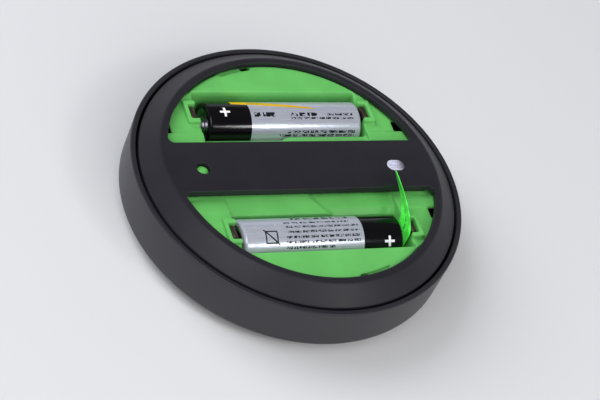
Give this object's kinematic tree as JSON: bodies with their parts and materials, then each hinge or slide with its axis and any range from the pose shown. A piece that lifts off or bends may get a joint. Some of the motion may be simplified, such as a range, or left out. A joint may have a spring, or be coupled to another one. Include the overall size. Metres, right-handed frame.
{
  "type": "compact digital scale",
  "caption": "Round puck-shaped digital scale with a floating platform shell, dark base ring and bar, green battery tray, two AA cells and a pull ribbon.",
  "frame": {"origin": "centre of the platform face, which the scale lies on", "axes": "+Z from the platform face towards the battery side, +X along the cells and the bar, +Y across the bar"},
  "size_m": [0.1, 0.1, 0.0298],
  "materials": {
    "shell": "satin moulded, dark graphite",
    "plate": "fine matt grain, charcoal",
    "cover": "fine matt grain, charcoal",
    "smoked": "polished smoked acrylic",
    "tray": "satin moulded, bright green",
    "button": "satin moulded, bright green",
    "contact": "nickel plated spring strip",
    "can": "drawn nickel plated steel",
    "sleeve": "shrunk film, silver with a black band",
    "ribbon": "thin translucent neon green film",
    "seal": "white paper with faint marks",
    "beam": "milled",
    "silicone": "white sealing compound",
    "screw": "zinc plated",
    "board": "solder mask, green",
    "display": "dark display glass and frame",
    "chip": "moulded package",
    "switch": "moulded switch case",
    "plunger": "moulded",
    "wire_red": "insulation",
    "wire_black": "insulation",
    "wire_white": "insulation"
  },
  "bodies": {
    "base": {"base_cover": "cover", "battery_tray": "tray", "contact_positive_1": "contact", "contact_negative_1": "contact", "contact_positive_2": "contact", "contact_negative_2": "contact", "series_link": "contact", "bar_seal": "seal", "load_cell_beam": "beam", "gauge_seal_upper": "silicone", "gauge_seal_lower": "silicone", "beam_screw_base_1": "screw", "beam_screw_base_2": "screw", "tray_screw_1": "screw", "tray_screw_2": "screw", "tray_screw_3": "screw", "tray_screw_4": "screw", "main_board": "board", "display_module": "display", "control_chip": "chip", "switch_body": "switch", "battery_lead_positive": "wire_red", "battery_lead_negative": "wire_black", "load_cell_lead": "wire_white"},
    "platform": {"outer_shell": "shell", "platform_plate": "plate", "display_window": "smoked", "beam_screw_platform_1": "screw", "beam_screw_platform_2": "screw"},
    "cell_1": {"cell_1_can": "can", "cell_1_sleeve": "sleeve"},
    "cell_2": {"cell_2_can": "can", "cell_2_sleeve": "sleeve"},
    "button": {"unit_button": "button", "switch_plunger": "plunger"},
    "ribbon": {"pull_ribbon": "ribbon"}
  },
  "joints": [
    {"name": "platform_press", "type": "slide", "parent": "base", "child": "platform", "axis": [0, 0, 1], "range_m": [0, 0.0005], "stiffness_N_per_m": 80000},
    {"name": "button_press", "type": "slide", "parent": "base", "child": "button", "axis": [0, 0, -1], "range_m": [0, 0.0004], "stiffness_N_per_m": 4000},
    {"name": "cell_1_lift", "type": "slide", "parent": "base", "child": "cell_1", "axis": [0, 0, 1], "range_m": [0, 0.03]},
    {"name": "cell_2_lift", "type": "slide", "parent": "base", "child": "cell_2", "axis": [0, 0, 1], "range_m": [0, 0.03]},
    {"name": "ribbon_pull", "type": "slide", "parent": "cell_2", "child": "ribbon", "axis": [0, 0, 1], "range_m": [0, 0.03]}
  ]
}
